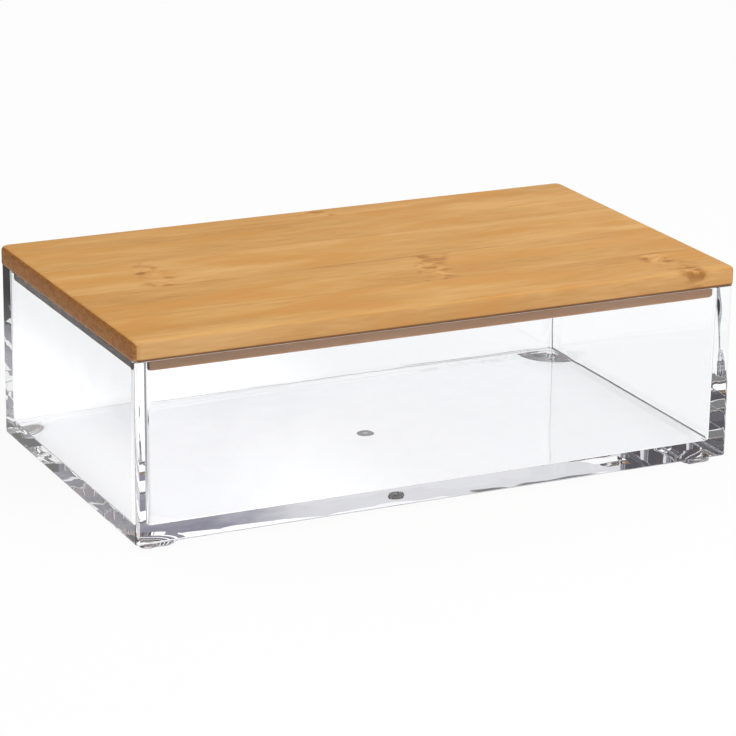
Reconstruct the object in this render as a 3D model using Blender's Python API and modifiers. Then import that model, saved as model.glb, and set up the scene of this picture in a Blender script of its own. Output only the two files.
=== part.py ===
# A clear moulded box with a lift-off bamboo lid.
# The lid is two boards of glued bamboo strips: one that covers the rim, and one that drops inside it.
# The long side lies along X, the front faces -Y, and the feet stand on z = 0. All sizes are in metres.

import math

import bmesh
import bpy
from mathutils import Vector

# Moulded box, outside
box_length = 0.1650
box_width = 0.0935
box_height = 0.0462
outer_corner_radius = 0.0010
base_rounding = 0.0004

# Moulded box, inside
wall_at_rim = 0.0034
wall_at_floor = 0.0037
floor_thickness = 0.0040
inner_corner_radius = 0.0015
floor_fillet = 0.0006
rim_rounding = 0.0008

# Feet, each a quarter of a low round pad with a sloping side, moulded in one with the box
foot_radius = 0.0120
foot_flat_radius = 0.0063
foot_height = 0.0022
foot_inset = 0.0025
foot_corner_radius = 0.0020
foot_rounding = 0.0006

# Mark left by the moulding gate, under the middle of the floor
gate_radius = 0.0023
gate_depth = 0.0006
gate_slope = 0.0003
gate_stub_radius = 0.0010
gate_stub_height = 0.0004

# Lid board, which rests on the rim
lid_thickness = 0.0047
lid_overhang = 0.0004
lid_corner_radius = 0.0022
lid_top_rounding = 0.0012
lid_lower_rounding = 0.0009
back_strip_width = 0.0078
strip_width = 0.0223
# A front strip narrower than this share of a strip is left part of its neighbour
narrowest_strip_share = 0.35

# Locating board, glued under the lid board and dropping inside the rim
locating_thickness = 0.0035
locating_corner_radius = 0.0020
locating_rounding = 0.0006

# Fits
lid_rest_gap = 0.0003
locating_clearance = 0.0005
glue_line = 0.0001
cut_overrun = 0.0010

# Counts
locating_strip_count = 4
arc_steps = 5
foot_steps = 64
gate_steps = 32

# Levels
base_level = foot_height
floor_level = base_level + floor_thickness
rim_level = base_level + box_height
lid_level = rim_level + lid_rest_gap

# Colours, as linear red, green, blue and alpha
clear_colour = (0.90, 0.93, 0.95, 0.30)
bamboo_colour = (0.66, 0.37, 0.14, 1.0)
locating_colour = (0.50, 0.27, 0.12, 1.0)


def clear_scene():
    for old in list(bpy.data.objects):
        bpy.data.objects.remove(old)


def new_collection(name):
    collection = bpy.data.collections.new(name)
    bpy.context.scene.collection.children.link(collection)
    return collection


def new_material(name, colour, roughness, transmission):
    material = bpy.data.materials.new(name)
    material.use_nodes = True
    shader = material.node_tree.nodes["Principled BSDF"]
    shader.inputs["Base Color"].default_value = colour
    shader.inputs["Alpha"].default_value = colour[3]
    shader.inputs["Roughness"].default_value = roughness
    shader.inputs["Metallic"].default_value = 0.0
    shader.inputs["Transmission Weight"].default_value = transmission
    material.diffuse_color = colour
    return material


def new_object(name, bm, collection, material=None):
    bmesh.ops.recalc_face_normals(bm, faces=bm.faces)
    mesh = bpy.data.meshes.new(name)
    bm.to_mesh(mesh)
    bm.free()
    mesh.shade_smooth()
    mesh.set_sharp_from_angle(angle=math.radians(40))
    made = bpy.data.objects.new(name, mesh)
    collection.objects.link(made)
    if material is not None:
        mesh.materials.append(material)
    return made


def new_cutter(name, bm, collection):
    cutter = new_object(name, bm, collection)
    cutter.hide_render = True
    cutter.display_type = "WIRE"
    return cutter


def keep_flats_flat(made):
    weighted = made.modifiers.new("weighted_normals", "WEIGHTED_NORMAL")
    weighted.keep_sharp = True


def add_boolean(target, tool, operation):
    boolean = target.modifiers.new(tool.name, "BOOLEAN")
    boolean.object = tool
    boolean.operation = operation
    boolean.solver = "EXACT"


def turned_cutter(name, profile, steps, collection):
    bm = bmesh.new()
    points = [bm.verts.new((radius, 0, level)) for radius, level in profile]
    for point, next_point in zip(points, points[1:]):
        bm.edges.new((point, next_point))
    cutter = new_cutter(name, bm, collection)
    screw = cutter.modifiers.new("turn", "SCREW")
    screw.axis = "Z"
    screw.steps = steps
    screw.render_steps = steps
    screw.use_merge_vertices = True
    screw.merge_threshold = 0.00001
    return cutter


def quarter_turn():
    for step in range(arc_steps + 1):
        angle = math.pi / 2 * step / arc_steps
        yield math.sin(angle), math.cos(angle)


# Round edges of a block


def block(low, high):
    bm = bmesh.new()
    bmesh.ops.create_cube(bm, size=1)
    bmesh.ops.scale(bm, vec=high - low, verts=bm.verts)
    bmesh.ops.translate(bm, vec=(low + high) / 2, verts=bm.verts)
    return bm


def round_edges(bm, edges, radius):
    bmesh.ops.bevel(
        bm, geom=edges, offset=radius, offset_type="OFFSET",
        segments=arc_steps, profile=0.5, affect="EDGES",
    )


def upright_edges(bm):
    return [e for e in bm.edges if (e.verts[0].co - e.verts[1].co).xy.length < glue_line]


def edges_at_end(bm, pick):
    level = pick(v.co.z for v in bm.verts)
    face = next(f for f in bm.faces if all(abs(v.co.z - level) < glue_line for v in f.verts))
    return list(face.edges)


def rounded_board(length, width, low, high, corner_radius, lower_rounding, top_rounding):
    half = Vector((length / 2, width / 2, 0))
    bm = block(Vector((-half.x, -half.y, low)), Vector((half.x, half.y, high)))
    round_edges(bm, upright_edges(bm), corner_radius)
    round_edges(bm, edges_at_end(bm, max), top_rounding)
    round_edges(bm, edges_at_end(bm, min), lower_rounding)
    return bm


# Moulded box: one profile carried round a rounded rectangle, up the outside, over the rim and down inside


def rounded_outline(inset, level, radius):
    half_x = box_length / 2 - inset - radius
    half_y = box_width / 2 - inset - radius
    points = []
    for corner, (side_x, side_y) in enumerate(((1, 1), (-1, 1), (-1, -1), (1, -1))):
        for step in range(arc_steps + 1):
            angle = math.pi / 2 * (corner + step / arc_steps)
            arc = Vector((math.cos(angle), math.sin(angle), 0)) * radius
            points.append(Vector((side_x * half_x, side_y * half_y, level)) + arc)
    return points


def box_sections():
    sections = []
    for rise, run in quarter_turn():
        inset = base_rounding * (1 - rise)
        level = base_level + base_rounding * (1 - run)
        sections.append((inset, level, outer_corner_radius - inset))
    for rise, run in quarter_turn():
        inset = rim_rounding * (1 - run)
        level = rim_level - rim_rounding * (1 - rise)
        sections.append((inset, level, outer_corner_radius - inset))
    for rise, run in quarter_turn():
        inset = wall_at_rim - rim_rounding * (1 - rise)
        level = rim_level - rim_rounding * (1 - run)
        sections.append((inset, level, inner_corner_radius + wall_at_rim - inset))
    for rise, run in quarter_turn():
        inset = wall_at_floor + floor_fillet * (1 - run)
        level = floor_level + floor_fillet * (1 - rise)
        sections.append((inset, level, inner_corner_radius + wall_at_floor - inset))
    return sections


def box_shell():
    bm = bmesh.new()
    rings = []
    for inset, level, radius in box_sections():
        rings.append([bm.verts.new(p) for p in rounded_outline(inset, level, radius)])
    for ring, next_ring in zip(rings, rings[1:]):
        for i in range(len(ring)):
            j = (i + 1) % len(ring)
            bm.faces.new((ring[i], ring[j], next_ring[j], next_ring[i]))
    bm.faces.new(reversed(rings[0]))
    bm.faces.new(rings[-1])
    return bm


# Foot: a low round pad with a sloping side, cut to the quarter that lies inside the box's corner


def corner_foot(name, side_x, side_y, cutters):
    joint_level = base_level + floor_thickness / 2
    profile = [
        (0, joint_level),
        (foot_radius, joint_level),
        (foot_radius, foot_height),
        (foot_flat_radius, 0),
        (0, 0),
    ]
    corner = Vector((
        side_x * (box_length / 2 - foot_inset),
        side_y * (box_width / 2 - foot_inset),
        0,
    ))
    foot = turned_cutter(name, profile, foot_steps, cutters)
    foot.location = corner

    reach = foot_radius + cut_overrun
    far = corner - Vector((side_x * reach, side_y * reach, 0))
    low = Vector((min(corner.x, far.x), min(corner.y, far.y), 0))
    high = Vector((max(corner.x, far.x), max(corner.y, far.y), joint_level + cut_overrun))
    quarter = block(low, high)
    outer = [e for e in upright_edges(quarter) if (e.verts[0].co.xy - corner.xy).length < cut_overrun]
    round_edges(quarter, outer, foot_corner_radius)
    round_edges(quarter, edges_at_end(quarter, min), foot_rounding)
    add_boolean(foot, new_cutter(name + "_quarter", quarter, cutters), "INTERSECT")
    return foot


# Gate mark: a shallow round recess with the stub of the sprue standing in it


def gate_cutter(cutters):
    profile = [
        (0, gate_depth - gate_stub_height),
        (gate_stub_radius, gate_depth - gate_stub_height),
        (gate_stub_radius, gate_depth),
        (gate_radius - gate_slope, gate_depth),
        (gate_radius, 0),
        (gate_radius, -cut_overrun),
        (0, -cut_overrun),
    ]
    cutter = turned_cutter("gate_recess", profile, gate_steps, cutters)
    cutter.location = (0, 0, base_level)
    return cutter


def make_box(parts, cutters, material):
    box = new_object("box_body", box_shell(), parts, material)
    corners = {
        "front_left": (-1, -1), "front_right": (1, -1),
        "back_left": (-1, 1), "back_right": (1, 1),
    }
    for place, (side_x, side_y) in corners.items():
        add_boolean(box, corner_foot("foot_" + place, side_x, side_y, cutters), "UNION")
    add_boolean(box, gate_cutter(cutters), "DIFFERENCE")
    keep_flats_flat(box)


# Lid: each strip is sawn out of its whole rounded board, so it carries its share of the board's edges


def sawn_strip(board, low_y, high_y):
    for level, side in ((low_y, -1), (high_y, 1)):
        everything = board.verts[:] + board.edges[:] + board.faces[:]
        cut = bmesh.ops.bisect_plane(
            board, geom=everything, plane_co=(0, level, 0), plane_no=(0, side, 0), clear_outer=True,
        )
        edges = [item for item in cut["geom_cut"] if isinstance(item, bmesh.types.BMEdge)]
        if edges:
            bmesh.ops.contextual_create(board, geom=edges)
    return board


def lid_board():
    return rounded_board(
        box_length + 2 * lid_overhang, box_width + 2 * lid_overhang, 0, lid_thickness,
        lid_corner_radius, lid_lower_rounding, lid_top_rounding,
    )


def lid_joints():
    front_edge = -box_width / 2 - lid_overhang
    back_edge = -front_edge
    joints = [back_edge + glue_line]
    joint = back_edge - back_strip_width
    while joint - front_edge > narrowest_strip_share * strip_width:
        joints.append(joint)
        joint -= strip_width
    joints.append(front_edge - glue_line)
    return joints


def locating_size():
    taper = (wall_at_floor - wall_at_rim) * locating_thickness / (box_height - floor_thickness)
    gap = wall_at_rim + taper + locating_clearance
    return box_length - 2 * gap, box_width - 2 * gap


def locating_board():
    length, width = locating_size()
    high = -glue_line
    return rounded_board(
        length, width, high - locating_thickness, high,
        locating_corner_radius, locating_rounding, locating_rounding,
    )


def locating_joints():
    width = locating_size()[1]
    inner = [width / 2 - width * i / locating_strip_count for i in range(1, locating_strip_count)]
    return [width / 2 + glue_line] + inner + [-width / 2 - glue_line]


def make_strips(prefix, board, joints, parts, material, lift):
    for number, (back, front) in enumerate(zip(joints, joints[1:]), start=1):
        bm = sawn_strip(board(), front + glue_line / 2, back - glue_line / 2)
        strip = new_object(f"{prefix}_{number}", bm, parts, material)
        strip.parent = lift
        keep_flats_flat(strip)


def main():
    clear_scene()
    parts = new_collection("cosmetic_box")
    cutters = new_collection("cutters")
    clear_plastic = new_material("clear_plastic", clear_colour, 0.05, 1.0)
    bamboo = new_material("bamboo", bamboo_colour, 0.45, 0.0)
    locating_bamboo = new_material("locating_bamboo", locating_colour, 0.55, 0.0)

    make_box(parts, cutters, clear_plastic)

    lift = bpy.data.objects.new("lid_lift", None)
    lift.location = (0, 0, lid_level)
    parts.objects.link(lift)
    make_strips("lid_strip", lid_board, lid_joints(), parts, bamboo, lift)
    make_strips("locating_strip", locating_board, locating_joints(), parts, locating_bamboo, lift)


main()
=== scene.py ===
# Clear moulded box with a lift-off bamboo lid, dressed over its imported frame.
import math

import bmesh
import bpy
from mathutils import Matrix, Vector


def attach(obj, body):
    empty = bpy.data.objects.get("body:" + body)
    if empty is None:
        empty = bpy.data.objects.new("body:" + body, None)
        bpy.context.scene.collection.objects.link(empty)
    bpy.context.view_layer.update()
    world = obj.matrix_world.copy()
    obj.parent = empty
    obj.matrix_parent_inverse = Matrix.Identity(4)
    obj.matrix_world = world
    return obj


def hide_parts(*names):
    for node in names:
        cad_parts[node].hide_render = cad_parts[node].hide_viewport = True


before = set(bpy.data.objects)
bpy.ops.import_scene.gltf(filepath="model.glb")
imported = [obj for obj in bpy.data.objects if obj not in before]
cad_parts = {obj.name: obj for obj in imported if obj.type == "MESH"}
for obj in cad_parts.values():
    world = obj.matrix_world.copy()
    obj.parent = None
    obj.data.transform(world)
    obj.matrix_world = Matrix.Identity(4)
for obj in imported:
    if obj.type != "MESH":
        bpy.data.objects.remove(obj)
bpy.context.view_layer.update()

tolerance = 0.00005       # places nearer than this count as the same
weldDistance = 0.00001
overrun = 0.001           # how far a cutting shape runs past what it cuts
sharpAngle = 40           # degrees: a steeper edge keeps its crease
white = (1.0, 1.0, 1.0, 1.0)


# small helpers

def addNode(tree, kind, inputs=None, **settings):
    node = tree.nodes.new(kind)
    for name, value in settings.items():
        setattr(node, name, value)
    for key, value in (inputs or {}).items():
        if isinstance(value, bpy.types.NodeSocket):
            tree.links.new(value, node.inputs[key])
        else:
            node.inputs[key].default_value = value
    return node


def newTree(name, inputs):
    tree = bpy.data.node_groups.new(name, "GeometryNodeTree")
    for label, kind in inputs:
        tree.interface.new_socket(label, in_out="INPUT", socket_type="NodeSocket" + kind)
    tree.interface.new_socket("Geometry", in_out="OUTPUT", socket_type="NodeSocketGeometry")
    return tree, tree.nodes.new("NodeGroupInput"), tree.nodes.new("NodeGroupOutput")


def runTree(piece, tree, values):
    modifier = piece.modifiers.new(tree.name, "NODES")
    modifier.node_group = tree
    for item in tree.interface.items_tree:
        if item.in_out == "INPUT" and item.name in values:
            modifier[item.identifier] = values[item.name]


def plainMesh(source, name):
    weighted = source.modifiers.new("flatFlats", "WEIGHTED_NORMAL")
    weighted.keep_sharp = True
    bpy.context.view_layer.update()
    graph = bpy.context.evaluated_depsgraph_get()
    mesh = bpy.data.meshes.new_from_object(source.evaluated_get(graph))
    mesh.name = name
    piece = bpy.data.objects.new(name, mesh)
    bpy.context.scene.collection.objects.link(piece)
    bpy.data.objects.remove(source)
    return piece


def newObject(name, bm):
    bmesh.ops.recalc_face_normals(bm, faces=bm.faces)
    mesh = bpy.data.meshes.new(name)
    bm.to_mesh(mesh)
    bm.free()
    made = bpy.data.objects.new(name, mesh)
    bpy.context.scene.collection.objects.link(made)
    return made


def newMaterial(name):
    material = bpy.data.materials.new(name)
    material.use_nodes = True
    material.node_tree.nodes.clear()
    return material, material.node_tree


def calc(tree, operation, first, second=None, clamp=False):
    inputs = {0: first} if second is None else {0: first, 1: second}
    return addNode(tree, "ShaderNodeMath", inputs, operation=operation, use_clamp=clamp).outputs[0]


def product(tree, first, *others):
    for other in others:
        first = calc(tree, "MULTIPLY", first, other)
    return first


def remap(tree, value, low, high, newLow=0.0, newHigh=1.0):
    return addNode(tree, "ShaderNodeMapRange", {
        "Value": value, "From Min": low, "From Max": high, "To Min": newLow, "To Max": newHigh,
    }, interpolation_type="SMOOTHSTEP").outputs["Result"]


def mixColour(tree, share, first, second):
    node = addNode(tree, "ShaderNodeMix", {"Factor": share}, data_type="RGBA")
    for socket, colour in ((node.inputs[6], first), (node.inputs[7], second)):
        if isinstance(colour, bpy.types.NodeSocket):
            tree.links.new(colour, socket)
        else:
            socket.default_value = colour
    return node.outputs[2]


def splitAxes(tree, vector):
    return addNode(tree, "ShaderNodeSeparateXYZ", {0: vector}).outputs


def objectPlace(tree):
    return addNode(tree, "ShaderNodeTexCoord").outputs["Object"]


def fromMiddle(tree, place):
    # distance from the upright line through the middle of the box
    flat = addNode(tree, "ShaderNodeCombineXYZ", {"X": place["X"], "Y": place["Y"]})
    return addNode(tree, "ShaderNodeVectorMath", {0: flat.outputs[0]}, operation="LENGTH").outputs["Value"]


def sharpRay(tree, rays):
    # 1 for what clear plastic and gloss mirror or let through
    return calc(tree, "ADD", rays["Is Glossy Ray"], rays["Is Transmission Ray"], clamp=True)


# camera, at the picture's own view

pictureView = {
    "lens": 157.631, "sensor": 36, "nearest": 0.01,
    "place": (-0.34782, -0.72077, 0.27939),
    "turn": 25.8389,      # degrees to the right of straight back
    "down": 17.7675,
    "roll": 0.6857,
}


def placeCamera(view):
    camera = bpy.data.cameras.new("pictureCamera")
    camera.lens = view["lens"]
    camera.sensor_width = view["sensor"]
    camera.clip_start = view["nearest"]
    holder = bpy.data.objects.new("pictureCamera", camera)
    bpy.context.scene.collection.objects.link(holder)
    turned = Matrix.Rotation(-math.radians(view["turn"]), 4, "Z")
    tilted = Matrix.Rotation(math.radians(90 - view["down"]), 4, "X")
    rolled = Matrix.Rotation(math.radians(view["roll"]), 4, "Z")
    holder.matrix_world = Matrix.Translation(view["place"]) @ turned @ tilted @ rolled
    bpy.context.scene.camera = holder


placeCamera(pictureView)
print("camera placed")


# clear moulded box

boxSizes = {
    "length": 0.1650, "width": 0.0935, "height": 0.0462,
    "outerCorner": 0.0010, "baseRounding": 0.0004,
    "wallAtRim": 0.0034, "wallAtFloor": 0.0037, "floor": 0.0040,
    "innerCorner": 0.0015, "floorFillet": 0.0004, "rimRounding": 0.0003,
    "arcSteps": 10,
}
footSizes = {
    "radius": 0.0120, "flat": 0.0063, "height": 0.0022, "inset": 0.0025,
    "corner": 0.0020, "rounding": 0.0006, "steps": 96,
}
gateSizes = {
    "radius": 0.0023, "depth": 0.0006, "slope": 0.0003,
    "stubRadius": 0.0010, "stubHeight": 0.0004, "steps": 48,
    "tornMiddle": 0.6, "tornReach": 0.5,      # shares of the depth: where the torn faces lie
}
clearFinish = {
    "tint": (0.985, 0.992, 1.0, 1.0),
    "bend": 1.57,
    "lampTint": (0.93, 0.95, 0.96, 1.0),
    # moulded faces are never quite flat
    "rippleWidth": 0.016, "rippleDepth": 0.00006, "rippleDetail": 1.5, "rippleRoughness": 0.45,
}
gateFinish = {   # torn, not polished: a dark ring round a paler stub
    "ring": (0.120, 0.130, 0.140, 1.0), "stub": (0.620, 0.640, 0.660, 1.0),
    "stubEdge": (0.0006, 0.0012), "roughness": 0.55, "clear": 0.45,
    "gritWidth": 0.0004, "gritDetail": 2.0, "gritStrength": 0.5, "gritDepth": 0.00008,
}
baseLevel = footSizes["height"]
floorLevel = baseLevel + boxSizes["floor"]
rimLevel = baseLevel + boxSizes["height"]


def clearPlastic(look):
    material, tree = newMaterial("clearPlastic")
    ripple = addNode(tree, "ShaderNodeTexNoise", {
        "Vector": objectPlace(tree), "Scale": 1 / look["rippleWidth"],
        "Detail": look["rippleDetail"], "Roughness": look["rippleRoughness"],
    })
    moulded = addNode(tree, "ShaderNodeBump", {
        "Strength": 1.0, "Distance": look["rippleDepth"], "Height": ripple.outputs["Fac"],
    })
    shell = addNode(tree, "ShaderNodeBsdfPrincipled", {
        "Base Color": look["tint"], "Roughness": 0.0, "IOR": look["bend"], "Transmission Weight": 1.0,
        "Normal": moulded.outputs[0],
    })
    lampPath = addNode(tree, "ShaderNodeBsdfTransparent", {"Color": look["lampTint"]})
    rays = addNode(tree, "ShaderNodeLightPath")
    mixed = addNode(tree, "ShaderNodeMixShader", {
        0: rays.outputs["Is Shadow Ray"], 1: shell.outputs[0], 2: lampPath.outputs[0],
    })
    addNode(tree, "ShaderNodeOutputMaterial", {"Surface": mixed.outputs[0]})
    return material


def tornPlastic(look):
    material, tree = newMaterial("tornPlastic")
    place = objectPlace(tree)
    grit = addNode(tree, "ShaderNodeTexNoise", {
        "Vector": place, "Scale": 1 / look["gritWidth"], "Detail": look["gritDetail"],
    })
    rough = addNode(tree, "ShaderNodeBump", {
        "Strength": look["gritStrength"], "Distance": look["gritDepth"], "Height": grit.outputs["Fac"],
    })
    away = fromMiddle(tree, splitAxes(tree, place))
    colour = mixColour(tree, remap(tree, away, *look["stubEdge"]), look["stub"], look["ring"])
    shell = addNode(tree, "ShaderNodeBsdfPrincipled", {
        "Base Color": colour, "Roughness": look["roughness"], "IOR": clearFinish["bend"],
        "Transmission Weight": look["clear"], "Normal": rough.outputs[0],
    })
    addNode(tree, "ShaderNodeOutputMaterial", {"Surface": shell.outputs[0]})
    return material


def quarterTurn(steps):
    for step in range(steps + 1):
        angle = math.pi / 2 * step / steps
        yield math.sin(angle), math.cos(angle)


def ringPoints(inset, level, radius, sizes):
    halfX = sizes["length"] / 2 - inset - radius
    halfY = sizes["width"] / 2 - inset - radius
    for corner, (sideX, sideY) in enumerate(((1, 1), (-1, 1), (-1, -1), (1, -1))):
        for step in range(sizes["arcSteps"] + 1):
            angle = math.pi / 2 * (corner + step / sizes["arcSteps"])
            yield (
                sideX * halfX + radius * math.cos(angle),
                sideY * halfY + radius * math.sin(angle),
                level,
            )


def wallSections(sizes):
    # up the outside, over the rim and down the inside: inset, level and corner radius
    steps = sizes["arcSteps"]
    for rise, run in quarterTurn(steps):
        inset = sizes["baseRounding"] * (1 - rise)
        yield inset, baseLevel + sizes["baseRounding"] * (1 - run), sizes["outerCorner"] - inset
    for rise, run in quarterTurn(steps):
        inset = sizes["rimRounding"] * (1 - run)
        yield inset, rimLevel - sizes["rimRounding"] * (1 - rise), sizes["outerCorner"] - inset
    for rise, run in quarterTurn(steps):
        inset = sizes["wallAtRim"] - sizes["rimRounding"] * (1 - rise)
        radius = sizes["innerCorner"] + sizes["wallAtRim"] - inset
        yield inset, rimLevel - sizes["rimRounding"] * (1 - run), radius
    for rise, run in quarterTurn(steps):
        inset = sizes["wallAtFloor"] + sizes["floorFillet"] * (1 - run)
        radius = sizes["innerCorner"] + sizes["wallAtFloor"] - inset
        yield inset, floorLevel + sizes["floorFillet"] * (1 - rise), radius


def boxShell(sizes):
    bm = bmesh.new()
    rings = []
    for inset, level, radius in wallSections(sizes):
        rings.append([bm.verts.new(p) for p in ringPoints(inset, level, radius, sizes)])
    for ring, nextRing in zip(rings, rings[1:]):
        for here in range(len(ring)):
            beside = (here + 1) % len(ring)
            bm.faces.new((ring[here], ring[beside], nextRing[beside], nextRing[here]))
    bm.faces.new(reversed(rings[0]))
    bm.faces.new(rings[-1])
    return newObject("boxShell", bm)


def turnedShape(name, profile, steps):
    bm = bmesh.new()
    points = [bm.verts.new((radius, 0, level)) for radius, level in profile]
    edges = [bm.edges.new(pair) for pair in zip(points, points[1:])]
    bmesh.ops.spin(
        bm, geom=points + edges, cent=(0, 0, 0), axis=(0, 0, 1), angle=2 * math.pi, steps=steps,
    )
    bmesh.ops.remove_doubles(bm, verts=bm.verts, dist=weldDistance)
    return newObject(name, bm)


def roundEdges(bm, edges, radius, steps):
    bmesh.ops.bevel(
        bm, geom=edges, offset=radius, offset_type="OFFSET", segments=steps, profile=0.5, affect="EDGES",
    )


def blockBetween(low, high):
    bm = bmesh.new()
    bmesh.ops.create_cube(bm, size=1)
    bmesh.ops.scale(bm, vec=high - low, verts=bm.verts)
    bmesh.ops.translate(bm, vec=(low + high) / 2, verts=bm.verts)
    return bm


def uprightEdges(bm):
    return [e for e in bm.edges if (e.verts[0].co - e.verts[1].co).xy.length < tolerance]


def endEdges(bm, pick):
    level = pick(v.co.z for v in bm.verts)
    face = next(f for f in bm.faces if all(abs(v.co.z - level) < tolerance for v in f.verts))
    return list(face.edges)


def footShape(sizes):
    # the box's own corner is at +X +Y of this foot, at the origin
    high = baseLevel + boxSizes["floor"] / 2
    pad = turnedShape("footPad", [
        (0, high), (sizes["radius"], high), (sizes["radius"], sizes["height"]), (sizes["flat"], 0), (0, 0),
    ], sizes["steps"])
    reach = sizes["radius"] + overrun
    quarter = blockBetween(Vector((-reach, -reach, 0)), Vector((0, 0, high + overrun)))
    corner = [e for e in uprightEdges(quarter) if e.verts[0].co.xy.length < tolerance]
    roundEdges(quarter, corner, sizes["corner"], boxSizes["arcSteps"])
    roundEdges(quarter, endEdges(quarter, min), sizes["rounding"], boxSizes["arcSteps"])
    cut = pad.modifiers.new("quarter", "BOOLEAN")
    cut.object = newObject("footQuarter", quarter)
    cut.operation = "INTERSECT"
    cut.solver = "EXACT"
    return pad


def gateShape(sizes):
    recessTop = baseLevel + sizes["depth"]
    stubEnd = recessTop - sizes["stubHeight"]
    return turnedShape("gateRecess", [
        (0, stubEnd), (sizes["stubRadius"], stubEnd), (sizes["stubRadius"], recessTop),
        (sizes["radius"] - sizes["slope"], recessTop), (sizes["radius"], baseLevel),
        (sizes["radius"], baseLevel - overrun), (0, baseLevel - overrun),
    ], sizes["steps"])


def addEnding(tree, shape, result, material, otherMaterial, chosen):
    # smooth faces between sharp edges, then plain mesh and its two materials
    smooth = addNode(tree, "GeometryNodeSetShadeSmooth", {"Geometry": shape, "Shade Smooth": True})
    angle = addNode(tree, "GeometryNodeInputMeshEdgeAngle")
    steep = addNode(tree, "FunctionNodeCompare", {
        0: angle.outputs[0], 1: math.radians(sharpAngle),
    }, operation="GREATER_THAN")
    sharp = addNode(tree, "GeometryNodeSetShadeSmooth", {
        "Geometry": smooth.outputs[0], "Selection": steep.outputs[0], "Shade Smooth": False,
    }, domain="EDGE")
    plain = addNode(tree, "GeometryNodeRealizeInstances", {0: sharp.outputs[0]})
    coated = addNode(tree, "GeometryNodeSetMaterial", {"Geometry": plain.outputs[0], "Material": material})
    coated = addNode(tree, "GeometryNodeSetMaterial", {
        "Geometry": coated.outputs[0], "Selection": chosen, "Material": otherMaterial,
    })
    tree.links.new(coated.outputs[0], result.inputs[0])


def mouldTree():
    # the foot is set at the four corners, a quarter turn apart, and fused with the shell;
    # then the gate mark is cut out
    tree, given, result = newTree("mouldBox", (
        ("Geometry", "Geometry"), ("Foot", "Object"), ("Gate", "Object"),
        ("Foot Span X", "Float"), ("Foot Span Y", "Float"),
        ("Gate Radius", "Float"), ("Torn Level", "Float"), ("Torn Reach", "Float"),
        ("Plastic", "Material"), ("Torn Plastic", "Material"),
    ))
    corners = addNode(tree, "GeometryNodeMeshGrid", {
        "Size X": given.outputs["Foot Span X"], "Size Y": given.outputs["Foot Span Y"],
        "Vertices X": 2, "Vertices Y": 2,
    })
    place = splitAxes(tree, addNode(tree, "GeometryNodeInputPosition").outputs[0])
    # the corner's quadrant, as a whole number of quarter turns
    heading = calc(tree, "ARCTAN2", place["Y"], place["X"])
    quarters = calc(tree, "FLOOR", calc(tree, "DIVIDE", heading, math.pi / 2))
    turn = addNode(tree, "ShaderNodeCombineXYZ", {"Z": calc(tree, "MULTIPLY", quarters, math.pi / 2)})
    foot = addNode(tree, "GeometryNodeObjectInfo", {"Object": given.outputs["Foot"]})
    feet = addNode(tree, "GeometryNodeInstanceOnPoints", {
        "Points": corners.outputs["Mesh"], "Instance": foot.outputs["Geometry"], "Rotation": turn.outputs[0],
    })
    realFeet = addNode(tree, "GeometryNodeRealizeInstances", {0: feet.outputs[0]})
    withFeet = addNode(tree, "GeometryNodeMeshBoolean", operation="UNION", solver="EXACT")
    tree.links.new(given.outputs["Geometry"], withFeet.inputs["Mesh 2"])
    tree.links.new(realFeet.outputs[0], withFeet.inputs["Mesh 2"])
    gate = addNode(tree, "GeometryNodeObjectInfo", {"Object": given.outputs["Gate"]})
    cut = addNode(tree, "GeometryNodeMeshBoolean", {
        "Mesh 1": withFeet.outputs["Mesh"], "Mesh 2": gate.outputs["Geometry"],
    }, operation="DIFFERENCE", solver="EXACT")
    inside = addNode(tree, "FunctionNodeCompare", {
        0: fromMiddle(tree, place), 1: given.outputs["Gate Radius"],
    }, operation="LESS_THAN")
    within = addNode(tree, "FunctionNodeCompare", {
        "A": place["Z"], "B": given.outputs["Torn Level"], "Epsilon": given.outputs["Torn Reach"],
    }, operation="EQUAL")
    torn = addNode(tree, "FunctionNodeBooleanMath", {
        0: inside.outputs[0], 1: within.outputs[0],
    }, operation="AND")
    addEnding(
        tree, cut.outputs["Mesh"], result,
        given.outputs["Plastic"], given.outputs["Torn Plastic"], torn.outputs[0],
    )
    return tree


def makeClearBox():
    shell = boxShell(boxSizes)
    foot = footShape(footSizes)
    gate = gateShape(gateSizes)
    bpy.context.view_layer.update()
    runTree(shell, mouldTree(), {
        "Foot": foot, "Gate": gate,
        "Foot Span X": boxSizes["length"] - 2 * footSizes["inset"],
        "Foot Span Y": boxSizes["width"] - 2 * footSizes["inset"],
        "Gate Radius": gateSizes["radius"],
        "Torn Level": baseLevel + gateSizes["depth"] * gateSizes["tornMiddle"],
        "Torn Reach": gateSizes["depth"] * gateSizes["tornReach"],
        "Plastic": clearPlastic(clearFinish),
        "Torn Plastic": tornPlastic(gateFinish),
    })
    clearBox = plainMesh(shell, "clearBox")
    for helper in (bpy.data.objects["footQuarter"], foot, gate):
        bpy.data.objects.remove(helper)
    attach(clearBox, "box")
    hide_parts("box_body")
    return clearBox


clearBox = makeClearBox()
print("clear box", len(clearBox.data.polygons), "faces")


# bamboo

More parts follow.
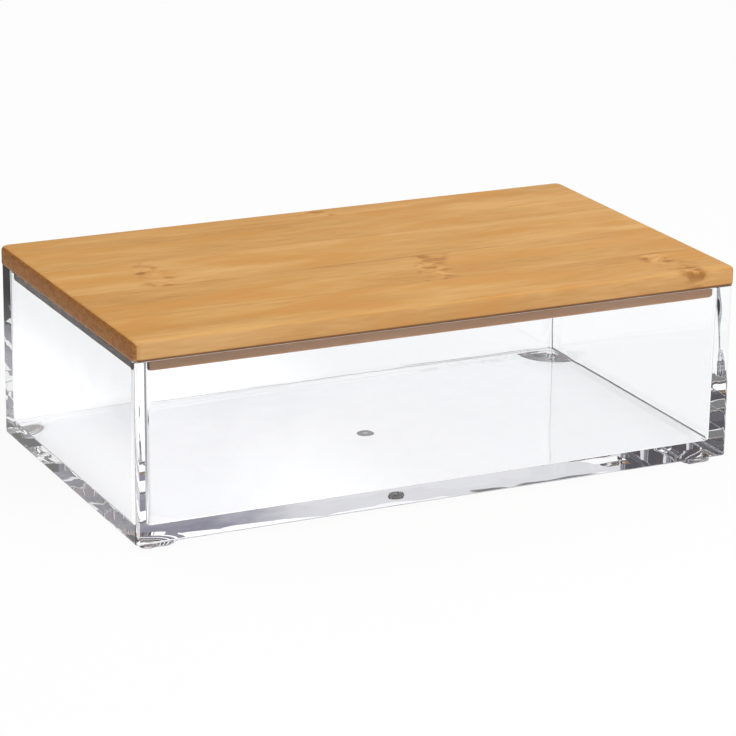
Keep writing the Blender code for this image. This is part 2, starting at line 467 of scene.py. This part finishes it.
bambooLook = {
    "pale": (0.850, 0.492, 0.180, 1.0),
    "middle": (0.745, 0.402, 0.124, 1.0),
    "deep": (0.600, 0.295, 0.078, 1.0),
    "deepAt": 0.12, "middleAt": 0.50, "paleAt": 0.88,
    "amber": (0.705, 0.328, 0.076, 1.0),
    # painted shade and sheen on the long sides: darker, a little bluer
    "paintedSideShade": (0.78, 0.80, 0.96), "sideFrom": 0.25, "sideTo": 0.85,
    # painted shade: a dark band along the lid's lower arris, where it meets the rim
    "paintedArrisColour": (0.170, 0.066, 0.018, 1.0), "paintedArrisShare": 0.95, "paintedShadeLow": 0.00042, "paintedShadeHigh": 0.00080,
    "roughness": 0.50, "roughnessSpread": 0.07, "roughnessSpan": (0.2, 0.8), "gloss": 0.28, "bend": 1.48,
    "reliefStrength": 0.12, "reliefDepth": 0.00006,
}
# painted light: the locating board has the bamboo's own colours painted paler and redder, for light it lacks
# in the shade under the lid; it gets no painted side or arris shade
locatingPaintedLightLook = {
    **bambooLook,
    "pale": (0.900, 0.470, 0.200, 1.0),
    "middle": (0.840, 0.400, 0.150, 1.0),
    "deep": (0.700, 0.310, 0.100, 1.0),
    "amber": (0.800, 0.350, 0.110, 1.0),
    "paintedSideShade": (1.0, 1.0, 1.0), "paintedArrisShare": 0.0,
    "roughness": 0.62, "gloss": 0.10,
}
grainKinds = {     # length, width, detail and weight in the tone
    "mottle": (0.055, 0.0100, 1.0, 0.95),
    "band": (0.032, 0.0026, 2.0, 0.30),
    "streak": (0.008, 0.0010, 3.0, 0.55),
    "fibre": (0.006, 0.00030, 2.0, 0.30),
}
grainMiddle = 0.55
warmPatches = {"grain": (0.034, 0.0095, 2.0), "from": 0.42, "to": 0.68, "share": 0.80}
knuckleLook = {
    "colour": (0.400, 0.160, 0.034, 1.0),
    "reach": 0.0062, "coreShare": 0.25, "wander": 0.0090, "wanderGrain": (0.012, 0.0060),
    "patchGrain": (0.0100, 0.0060, 1.0), "patchFrom": 0.34, "patchTo": 0.56, "patchLeast": 0.35,
    "dabGrain": (0.0048, 0.0032, 3.5), "dabFrom": 0.49, "dabTo": 0.60,
    "fleckFrom": 0.38, "fleckTo": 0.47,
    "warmShare": 0.45, "dabShare": 0.85, "fleckShare": 0.75, "dabDepth": 0.6,
}
glueLook = {
    "width": 0.0013, "stretchGrain": (0.030, 0.0060, 2.0),
    "from": 0.38, "to": 0.60, "least": 0.05, "share": 0.55,
}
endGrainLook = {
    "upper": (0.470, 0.190, 0.046, 1.0),
    "lower": (0.520, 0.240, 0.092, 1.0),
    "bundle": (0.190, 0.078, 0.028, 1.0),
    # painted highlight: the end's lower arris is painted paler, for light from the floor below
    "paintedArrisColour": (0.640, 0.400, 0.270, 1.0), "paintedArrisShare": 0.9, "paintedGlowHeight": 0.0008,
    "bundleWidth": 0.00055, "bundleLength": 0.05, "bundleSpread": 0.9,
    "dotCore": 0.18, "dotEdge": 0.42, "dotShare": 0.55,
    "bandGrain": (0.05, 0.0022, 2.0, 0.0009), "bandFrom": 0.35, "bandTo": 0.65, "bandShare": 0.40,
    "roughness": 0.60, "gloss": 0.15, "bend": 1.48,
    "reliefStrength": 0.15, "reliefDepth": 0.00006,
}
# painted shade: the locating board's end grain is painted much darker than the lid's, for the shade it lies
# in under the lid
locatingEndPaintedShadeLook = {
    **endGrainLook,
    "upper": (0.250, 0.095, 0.032, 1.0),
    "lower": (0.230, 0.090, 0.032, 1.0),
    "bundle": (0.110, 0.044, 0.016, 1.0),
    "paintedArrisColour": (0.230, 0.090, 0.032, 1.0),
}
seedShift = (0.37, 0.11, 0.23)     # each strip reads its own part of the noise
noiseMiddle = 0.5
noiseRoughness = 0.55


def grain(tree, where, length, width, detail=2.0, height=None):
    # noise drawn out along the strip
    stretched = addNode(tree, "ShaderNodeMapping", {
        "Vector": where, "Scale": (1 / length, 1 / width, 1 / (height or width)),
    })
    return addNode(tree, "ShaderNodeTexNoise", {
        "Vector": stretched.outputs[0], "Scale": 1.0, "Detail": detail, "Roughness": noiseRoughness,
    }).outputs["Fac"]


def attribute(tree, name, output="Fac"):
    return addNode(tree, "ShaderNodeAttribute", attribute_name=name).outputs[output]


def stripCoordinates(tree):
    place = objectPlace(tree)
    shift = addNode(tree, "ShaderNodeVectorMath", {
        0: seedShift, "Scale": attribute(tree, "stripSeed"),
    }, operation="SCALE")
    moved = addNode(tree, "ShaderNodeVectorMath", {0: place, 1: shift.outputs[0]}, operation="ADD")
    return place, moved.outputs[0]


def stripTone(tree, moved):
    # how pale the bamboo is, and the two finest patterns in it
    patterns = {}
    tone = None
    for name, (length, width, detail, weight) in grainKinds.items():
        patterns[name] = grain(tree, moved, length, width, detail)
        share = calc(tree, "MULTIPLY", patterns[name], weight)
        tone = share if tone is None else calc(tree, "ADD", tone, share)
    tone = calc(tree, "ADD", calc(tree, "SUBTRACT", tone, grainMiddle), attribute(tree, "stripTone"))
    return tone, patterns["streak"], patterns["fibre"]


def knuckleMarks(tree, place, look):
    # a knuckle is a ragged cluster of brown dabs and pale flecks across its strip
    spot = splitAxes(tree, attribute(tree, "knuckle", "Vector"))     # its X, its strip's middle, its lean
    here = splitAxes(tree, place)
    across = calc(tree, "SUBTRACT", here["Y"], spot["Y"])
    lean = calc(tree, "MULTIPLY", across, spot["Z"])
    along = calc(tree, "SUBTRACT", calc(tree, "SUBTRACT", here["X"], spot["X"]), lean)
    wander = calc(tree, "SUBTRACT", grain(tree, place, *look["wanderGrain"]), noiseMiddle)
    along = calc(tree, "ADD", along, calc(tree, "MULTIPLY", wander, look["wander"]))
    core = look["reach"] * look["coreShare"]
    near = remap(tree, calc(tree, "ABSOLUTE", along), core, look["reach"], 1.0, 0.0)
    patches = remap(
        tree, grain(tree, place, *look["patchGrain"]),
        look["patchFrom"], look["patchTo"], look["patchLeast"], 1.0,
    )
    near = product(tree, near, patches, attribute(tree, "knuckleDepth"))
    cluster = grain(tree, place, *look["dabGrain"])
    dabs = calc(tree, "MULTIPLY", near, remap(tree, cluster, look["dabFrom"], look["dabTo"]))
    flecks = calc(tree, "MULTIPLY", near, remap(tree, cluster, look["fleckFrom"], look["fleckTo"], 1.0, 0.0))
    return near, dabs, flecks


def glueShade(tree, place, moved, look):
    # darker stretches along the glue line at the back of a strip
    line = splitAxes(tree, attribute(tree, "glue", "Vector"))     # its Y, and how dark it is
    offset = calc(tree, "SUBTRACT", line["X"], splitAxes(tree, place)["Y"])
    close = remap(tree, offset, 0.0, look["width"], 1.0, 0.0)
    stretches = remap(
        tree, grain(tree, moved, *look["stretchGrain"]), look["from"], look["to"], look["least"], 1.0,
    )
    return product(tree, close, stretches, line["Y"])


def finishBamboo(tree, colour, roughness, height, look, sunk=False):
    relief = addNode(tree, "ShaderNodeBump", {
        "Strength": look["reliefStrength"], "Distance": look["reliefDepth"], "Height": height,
    }, invert=sunk)
    shader = addNode(tree, "ShaderNodeBsdfPrincipled", {
        "Base Color": colour, "Roughness": roughness, "IOR": look["bend"],
        "Specular IOR Level": look["gloss"], "Normal": relief.outputs[0],
    })
    addNode(tree, "ShaderNodeOutputMaterial", {"Surface": shader.outputs[0]})


def bambooFace(name, look, low):
    material, tree = newMaterial(name)
    place, moved = stripCoordinates(tree)
    tone, streak, fibre = stripTone(tree, moved)
    ramp = addNode(tree, "ShaderNodeValToRGB", {"Fac": tone})
    stops = ramp.color_ramp.elements
    stops[0].position, stops[0].color = look["deepAt"], look["deep"]
    stops[1].position, stops[1].color = look["paleAt"], look["pale"]
    stops.new(look["middleAt"]).color = look["middle"]
    patches = grain(tree, moved, *warmPatches["grain"])
    warm = remap(tree, patches, warmPatches["from"], warmPatches["to"], 0.0, warmPatches["share"])
    colour = mixColour(tree, warm, ramp.outputs[0], look["amber"])
    near, dabs, flecks = knuckleMarks(tree, place, knuckleLook)
    glue = glueShade(tree, place, moved, glueLook)
    for mark, share, paint in (
        (near, knuckleLook["warmShare"], look["amber"]),
        (dabs, knuckleLook["dabShare"], knuckleLook["colour"]),
        (flecks, knuckleLook["fleckShare"], look["pale"]),
        (glue, glueLook["share"], knuckleLook["colour"]),
    ):
        colour = mixColour(tree, calc(tree, "MULTIPLY", mark, share), colour, paint)
    # painted shade and sheen: the long sides and their roundings are painted darker and a little bluer, for
    # the light that falls less on them and the pale floor they mirror
    facing = splitAxes(tree, addNode(tree, "ShaderNodeTexCoord").outputs["Normal"])
    side = remap(tree, calc(tree, "ABSOLUTE", facing["Y"]), look["sideFrom"], look["sideTo"])
    paintedSideColour = addNode(tree, "ShaderNodeVectorMath", {0: colour, 1: look["paintedSideShade"]}, operation="MULTIPLY")
    colour = mixColour(tree, side, colour, paintedSideColour.outputs[0])
    # the lower arris is painted dark: mostly painted shade of the narrow gap where the lid meets the rim,
    # partly a stain
    level = splitAxes(tree, place)["Z"]
    paintedShade = remap(tree, level, low + look["paintedShadeLow"], low + look["paintedShadeHigh"], look["paintedArrisShare"], 0.0)
    colour = mixColour(tree, paintedShade, colour, look["paintedArrisColour"])
    height = calc(tree, "SUBTRACT", fibre, calc(tree, "MULTIPLY", dabs, knuckleLook["dabDepth"]))
    dullest = look["roughness"] + look["roughnessSpread"]
    glossiest = look["roughness"] - look["roughnessSpread"]
    roughness = remap(tree, streak, *look["roughnessSpan"], dullest, glossiest)
    finishBamboo(tree, colour, roughness, height, look)
    return material


def bambooEnd(name, look, low, high):
    material, tree = newMaterial(name)
    place, moved = stripCoordinates(tree)
    cells = addNode(tree, "ShaderNodeMapping", {
        "Vector": moved,
        "Scale": (1 / look["bundleLength"], 1 / look["bundleWidth"], 1 / look["bundleWidth"]),
    })
    bundles = addNode(tree, "ShaderNodeTexVoronoi", {
        "Vector": cells.outputs[0], "Scale": 1.0, "Randomness": look["bundleSpread"],
    })
    dots = remap(tree, bundles.outputs["Distance"], look["dotCore"], look["dotEdge"], 1.0, 0.0)
    bands = grain(tree, moved, *look["bandGrain"])
    level = splitAxes(tree, place)["Z"]
    colour = mixColour(tree, remap(tree, level, low, high), look["lower"], look["upper"])
    colour = mixColour(tree, calc(tree, "MULTIPLY", dots, look["dotShare"]), colour, look["bundle"])
    banded = remap(tree, bands, look["bandFrom"], look["bandTo"], 0.0, look["bandShare"])
    colour = mixColour(tree, banded, colour, look["bundle"])
    # painted highlight: the lowest part of the end is painted paler, for light from the floor below
    paintedGlow = remap(tree, level, low, low + look["paintedGlowHeight"], look["paintedArrisShare"], 0.0)
    colour = mixColour(tree, paintedGlow, colour, look["paintedArrisColour"])
    finishBamboo(tree, colour, look["roughness"], dots, look, sunk=True)
    return material


# lid: two boards of glued strips

seatGap = 0.0001     # between the rim and the lid board
lidSizes = {
    "length": 0.1658, "width": 0.0943, "low": rimLevel + seatGap, "thickness": 0.0049,
    "corner": 0.0022, "topRounding": 0.0012, "lowerRounding": 0.0004,
    "backStrip": 0.0078, "strip": 0.0223, "glueLine": 0.00003, "steps": 8,
}
locatingSizes = {
    "clearance": 0.0005, "thickness": 0.0035, "corner": 0.0020, "rounding": 0.0006,
    "strips": 4, "steps": 8,
}
sawReach = 0.4                   # longer than any board
endSlope = 0.58                  # a face that leans this much along the strip is its end
plainGlue = 0.2
noKnuckle = (1.0, 0.0, 0.0)      # far off the board


def roundedBoard(name, length, width, low, high, corner, lowerRounding, topRounding, steps):
    bm = blockBetween(Vector((-length / 2, -width / 2, low)), Vector((length / 2, width / 2, high)))
    roundEdges(bm, uprightEdges(bm), corner, steps)
    roundEdges(bm, endEdges(bm, max), topRounding, steps)
    roundEdges(bm, endEdges(bm, min), lowerRounding, steps)
    return newObject(name, bm)


def stripTree():
    # one strip is sawn out of the whole board, so it keeps its share of the board's rounded edges
    tree, given, result = newTree("sawStrip", (
        ("Geometry", "Geometry"), ("Back", "Float"), ("Front", "Float"), ("Reach", "Float"),
        ("Seed", "Float"), ("Tone", "Float"), ("Knuckle", "Vector"), ("Knuckle Depth", "Float"),
        ("Glue", "Vector"),
        ("Face Material", "Material"), ("End Material", "Material"),
    ))
    back, front, reach = (given.outputs[label] for label in ("Back", "Front", "Reach"))
    middle = calc(tree, "MULTIPLY", calc(tree, "ADD", back, front), 0.5)
    size = addNode(tree, "ShaderNodeCombineXYZ", {
        "X": reach, "Y": calc(tree, "SUBTRACT", back, front), "Z": reach,
    })
    place = addNode(tree, "ShaderNodeCombineXYZ", {"Y": middle})
    slab = addNode(tree, "GeometryNodeMeshCube", {"Size": size.outputs[0]})
    slabThere = addNode(tree, "GeometryNodeTransform", {
        "Geometry": slab.outputs["Mesh"], "Translation": place.outputs[0],
    })
    sawn = addNode(tree, "GeometryNodeMeshBoolean", operation="INTERSECT", solver="EXACT")
    tree.links.new(given.outputs["Geometry"], sawn.inputs["Mesh 2"])
    tree.links.new(slabThere.outputs[0], sawn.inputs["Mesh 2"])
    shape = sawn.outputs["Mesh"]
    for label, kind, socket in (
        ("stripSeed", "FLOAT", "Seed"), ("stripTone", "FLOAT", "Tone"),
        ("knuckle", "FLOAT_VECTOR", "Knuckle"), ("knuckleDepth", "FLOAT", "Knuckle Depth"),
        ("glue", "FLOAT_VECTOR", "Glue"),
    ):
        stored = addNode(tree, "GeometryNodeStoreNamedAttribute", {
            "Geometry": shape, "Name": label, "Value": given.outputs[socket],
        }, data_type=kind, domain="POINT")
        shape = stored.outputs[0]
    facing = splitAxes(tree, addNode(tree, "GeometryNodeInputNormal").outputs[0])
    isEnd = addNode(tree, "FunctionNodeCompare", {
        0: calc(tree, "ABSOLUTE", facing["X"]), 1: endSlope,
    }, operation="GREATER_THAN")
    addEnding(
        tree, shape, result, given.outputs["Face Material"], given.outputs["End Material"], isEnd.outputs[0],
    )
    return tree


def lidJoints(sizes):
    front = -sizes["width"] / 2
    joints = [sizes["width"] / 2 + sizes["glueLine"]]
    joint = sizes["width"] / 2 - sizes["backStrip"]
    while joint > front + sizes["corner"]:
        joints.append(joint)
        joint -= sizes["strip"]
    return joints + [front - sizes["glueLine"]]


def evenJoints(width, count, glueLine):
    inner = [width / 2 - width * i / count for i in range(1, count)]
    return [width / 2 + glueLine] + inner + [-width / 2 - glueLine]


def makeStrips(prefix, node, board, joints, looks, materials):
    tree = stripTree()
    pieces = []
    for number, (back, front) in enumerate(zip(joints, joints[1:]), start=1):
        strip = board()
        look = looks[number - 1]
        knuckleX, lean, depth = look.get("knuckle", noKnuckle)
        runTree(strip, tree, {
            "Back": back - lidSizes["glueLine"] / 2, "Front": front + lidSizes["glueLine"] / 2,
            "Reach": sawReach, "Seed": look["seed"], "Tone": look["tone"],
            "Knuckle": (knuckleX, (back + front) / 2, lean), "Knuckle Depth": depth,
            "Glue": (back, look.get("glue", plainGlue), 0.0),
            "Face Material": materials[0], "End Material": materials[1],
        })
        piece = plainMesh(strip, prefix + str(number))
        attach(piece, "lid")
        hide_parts(node + "_" + str(number))
        pieces.append(piece)
    return pieces


def lidBoard():
    sizes = lidSizes
    return roundedBoard(
        "lidBoard", sizes["length"], sizes["width"], sizes["low"], sizes["low"] + sizes["thickness"],
        sizes["corner"], sizes["lowerRounding"], sizes["topRounding"], sizes["steps"],
    )


def locatingGap():
    # the board follows the walls, which grow thicker downwards
    taper = (boxSizes["wallAtFloor"] - boxSizes["wallAtRim"]) * locatingSizes["thickness"]
    thicker = taper / (boxSizes["height"] - boxSizes["floor"])
    return boxSizes["wallAtRim"] + thicker + locatingSizes["clearance"]


def locatingBoard():
    sizes = locatingSizes
    high = lidSizes["low"] - lidSizes["glueLine"]
    return roundedBoard(
        "locatingBoard", boxSizes["length"] - 2 * locatingGap(), boxSizes["width"] - 2 * locatingGap(),
        high - sizes["thickness"], high,
        sizes["corner"], sizes["rounding"], sizes["rounding"], sizes["steps"],
    )


# each strip's place in the grain, its tone, how dark its back glue line is,
# and its knuckle: where along the strip, its lean and its depth
lidStripLooks = (
    {"seed": 1.0, "tone": -0.10, "glue": 0.0, "knuckle": (0.0062, 0.0, 0.8)},
    {"seed": 2.0, "tone": -0.02, "glue": 0.35},
    {"seed": 3.0, "tone": 0.09, "glue": 0.30, "knuckle": (-0.0568, 0.08, 1.0)},
    {"seed": 4.0, "tone": -0.07, "glue": 1.0, "knuckle": (0.0117, 0.36, 1.0)},
    {"seed": 5.0, "tone": -0.11, "glue": 0.45, "knuckle": (0.0690, -0.17, 1.0)},
)
locatingStripLooks = (
    {"seed": 6.0, "tone": -0.05},
    {"seed": 7.0, "tone": 0.02, "knuckle": (-0.031, 0.2, 1.0)},
    {"seed": 8.0, "tone": 0.00},
    {"seed": 9.0, "tone": 0.00},
)
lidLow, lidHigh = lidSizes["low"], lidSizes["low"] + lidSizes["thickness"]
lidEnd = bambooEnd("lidEnd", endGrainLook, lidLow, lidHigh)
locatingEndPaintedShade = bambooEnd("locatingEndPaintedShade", locatingEndPaintedShadeLook, lidLow - locatingSizes["thickness"], lidLow)
lidStrips = makeStrips(
    "lidStrip", "lid_strip", lidBoard, lidJoints(lidSizes), lidStripLooks,
    (bambooFace("lidFace", bambooLook, lidLow), lidEnd),
)
print("lid board", len(lidStrips), "strips")
locatingWidth = boxSizes["width"] - 2 * locatingGap()
locatingStrips = makeStrips(
    "locatingStrip", "locating_strip", locatingBoard,
    evenJoints(locatingWidth, locatingSizes["strips"], lidSizes["glueLine"]), locatingStripLooks,
    (bambooFace("locatingFacePaintedLight", locatingPaintedLightLook, lidLow), locatingEndPaintedShade),
)
print("locating board", len(locatingStrips), "strips")


# floor, surroundings and lamps

floorLook = {
    "size": 6.0, "level": -0.0002,
    "colour": (0.95, 0.95, 0.95, 1.0), "glow": 0.92,
    # how much brighter the floor under the box looks through the plastic, from its left to its right
    "underGlow": (0.34, 0.10), "underRun": (-0.045, 0.010),
    "underX": (0.066, 0.086), "underY": (0.044, 0.066),
    # the floor behind the left end, seen through that wall, is the brightest
    "behindGlow": 0.26, "behindX": (-0.020, 0.030), "behindY": (0.050, 0.070),
    # the floor to the left, which the left wall mirrors, is out of the light
    "leftGlow": 0.20, "leftX": (-0.131, -0.100),
    # the floor close behind the right end lies in the shade of the box, which its thick corner shows
    "shade": 0.86, "shadeLeft": (0.036, 0.044), "shadeRight": (0.077, 0.084),
    "shadeNear": (0.0530, 0.0538), "shadeFar": (0.0590, 0.0606),
}


def floorStrength(tree, sharp, look):
    place = splitAxes(tree, objectPlace(tree))
    underX = remap(tree, calc(tree, "ABSOLUTE", place["X"]), *look["underX"], 1.0, 0.0)
    underY = remap(tree, calc(tree, "ABSOLUTE", place["Y"]), *look["underY"], 1.0, 0.0)
    underGlow = remap(tree, place["X"], *look["underRun"], *look["underGlow"])
    strength = calc(tree, "ADD", product(tree, underX, underY, sharp, underGlow), 1.0)
    behindX = remap(tree, place["X"], *look["behindX"], look["behindGlow"], 0.0)
    behindY = remap(tree, place["Y"], *look["behindY"])
    strength = calc(tree, "ADD", strength, product(tree, behindX, behindY, sharp))
    left = remap(tree, place["X"], *look["leftX"], 1.0 - look["leftGlow"], 0.0)
    shade = calc(tree, "MULTIPLY", sharp, look["shade"])
    for axis, side, start, end in (
        ("X", "shadeLeft", 0.0, 1.0), ("X", "shadeRight", 1.0, 0.0),
        ("Y", "shadeNear", 0.0, 1.0), ("Y", "shadeFar", 1.0, 0.0),
    ):
        shade = calc(tree, "MULTIPLY", shade, remap(tree, place[axis], *look[side], start, end))
    for dimmed in (calc(tree, "MULTIPLY", left, sharp), shade):
        strength = calc(tree, "MULTIPLY", strength, calc(tree, "SUBTRACT", 1.0, dimmed))
    return strength


def makeFloor(look):
    bm = bmesh.new()
    bmesh.ops.create_grid(bm, x_segments=1, y_segments=1, size=look["size"] / 2)
    bmesh.ops.translate(bm, vec=(0, 0, look["level"]), verts=bm.verts)
    floor = newObject("studioFloor", bm)
    material, tree = newMaterial("studioFloor")
    rays = addNode(tree, "ShaderNodeLightPath").outputs
    sharp = sharpRay(tree, rays)
    matt = addNode(tree, "ShaderNodeBsdfDiffuse", {"Color": look["colour"]})
    shining = addNode(tree, "ShaderNodeEmission", {
        "Color": white, "Strength": floorStrength(tree, sharp, look),
    })
    seen = calc(tree, "ADD", rays["Is Camera Ray"], sharp, clamp=True)
    share = calc(tree, "MULTIPLY", seen, look["glow"])
    mixed = addNode(tree, "ShaderNodeMixShader", {0: share, 1: matt.outputs[0], 2: shining.outputs[0]})
    addNode(tree, "ShaderNodeOutputMaterial", {"Surface": mixed.outputs[0]})
    floor.data.materials.append(material)


# soft light boxes that the clear plastic and the lacquer mirror;
# turn is from straight back, all angles are in degrees
lightBoxes = {
    "backPanel": {"turn": 52, "up": 18, "inner": 25, "outer": 29, "level": 0.74},
    "backWash": {"turn": 22, "up": 20, "inner": 10, "outer": 32, "level": 0.24},
    "leftPanel": {"turn": 270, "up": 26, "inner": 8, "outer": 36, "level": 0.40},
    "frontPanel": {"turn": 190, "up": 26, "inner": 10, "outer": 44, "level": 0.26},
    "rightPanel": {"turn": 135, "up": 50, "inner": 8, "outer": 24, "level": 0.12},
}
horizonFade = (0.06, 0.15)
wallColours = {0.0: (0.040, 0.038, 0.052, 1.0), 0.28: (0.270, 0.262, 0.330, 1.0), 1.0: white}
surroundingLight = 0.42


def boxGlow(tree, heading, box):
    turn, up = math.radians(box["turn"]), math.radians(box["up"])
    centre = (math.sin(turn) * math.cos(up), math.cos(turn) * math.cos(up), math.sin(up))
    toward = addNode(tree, "ShaderNodeVectorMath", {0: heading, 1: centre}, operation="DOT_PRODUCT")
    return remap(
        tree, toward.outputs["Value"],
        math.cos(math.radians(box["outer"])), math.cos(math.radians(box["inner"])), 0.0, box["level"],
    )


def makeSurroundings():
    world = bpy.data.worlds.new("studio")
    bpy.context.scene.world = world
    world.use_nodes = True
    tree = world.node_tree
    tree.nodes.clear()
    heading = addNode(tree, "ShaderNodeTexCoord").outputs["Generated"]
    level = None
    for box in lightBoxes.values():
        glow = boxGlow(tree, heading, box)
        level = glow if level is None else calc(tree, "MAXIMUM", level, glow)
    level = calc(tree, "MULTIPLY", level, remap(tree, splitAxes(tree, heading)["Z"], *horizonFade))
    wall = addNode(tree, "ShaderNodeValToRGB", {"Fac": level})
    stops = wall.color_ramp.elements
    stops.remove(stops[1])
    for number, (position, colour) in enumerate(wallColours.items()):
        stop = stops.new(position) if number else stops[0]
        stop.color = colour
    mirrored = addNode(tree, "ShaderNodeBackground", {"Color": wall.outputs[0], "Strength": 1.0})
    lit = addNode(tree, "ShaderNodeBackground", {"Color": white, "Strength": surroundingLight})
    backdrop = addNode(tree, "ShaderNodeBackground", {"Color": white, "Strength": 1.0})
    rays = addNode(tree, "ShaderNodeLightPath").outputs
    inner = addNode(tree, "ShaderNodeMixShader", {
        0: sharpRay(tree, rays), 1: lit.outputs[0], 2: mirrored.outputs[0],
    })
    outer = addNode(tree, "ShaderNodeMixShader", {
        0: rays["Is Camera Ray"], 1: inner.outputs[0], 2: backdrop.outputs[0],
    })
    addNode(tree, "ShaderNodeOutputWorld", {"Surface": outer.outputs[0]})


lamps = {
    "keyLamp": {"place": (0.32, -0.75, 0.82), "aim": (0, 0, 0.03), "size": 0.6, "watts": 8.6},
    "fillLamp": {"place": (-0.5, 0.7, 1.0), "aim": (0, 0, 0.03), "size": 0.9, "watts": 3.0},
}


def makeLamp(name, look):
    lamp = bpy.data.lights.new(name, "AREA")
    lamp.shape = "SQUARE"
    lamp.size = look["size"]
    lamp.energy = look["watts"]
    holder = bpy.data.objects.new(name, lamp)
    bpy.context.scene.collection.objects.link(holder)
    direction = Vector(look["aim"]) - Vector(look["place"])
    holder.rotation_euler = direction.to_track_quat("-Z", "Y").to_euler()
    holder.location = look["place"]
    holder.visible_glossy = False
    holder.visible_transmission = False


makeFloor(floorLook)
makeSurroundings()
for name, look in lamps.items():
    makeLamp(name, look)
bpy.context.scene.view_settings.view_transform = "Standard"

# light runs far along inside the thick clear walls
lightPaths = {
    "max_bounces": 32, "glossy_bounces": 24, "transmission_bounces": 32, "transparent_max_bounces": 16,
}
for name, count in lightPaths.items():
    setattr(bpy.context.scene.cycles, name, count)
print("studio ready")
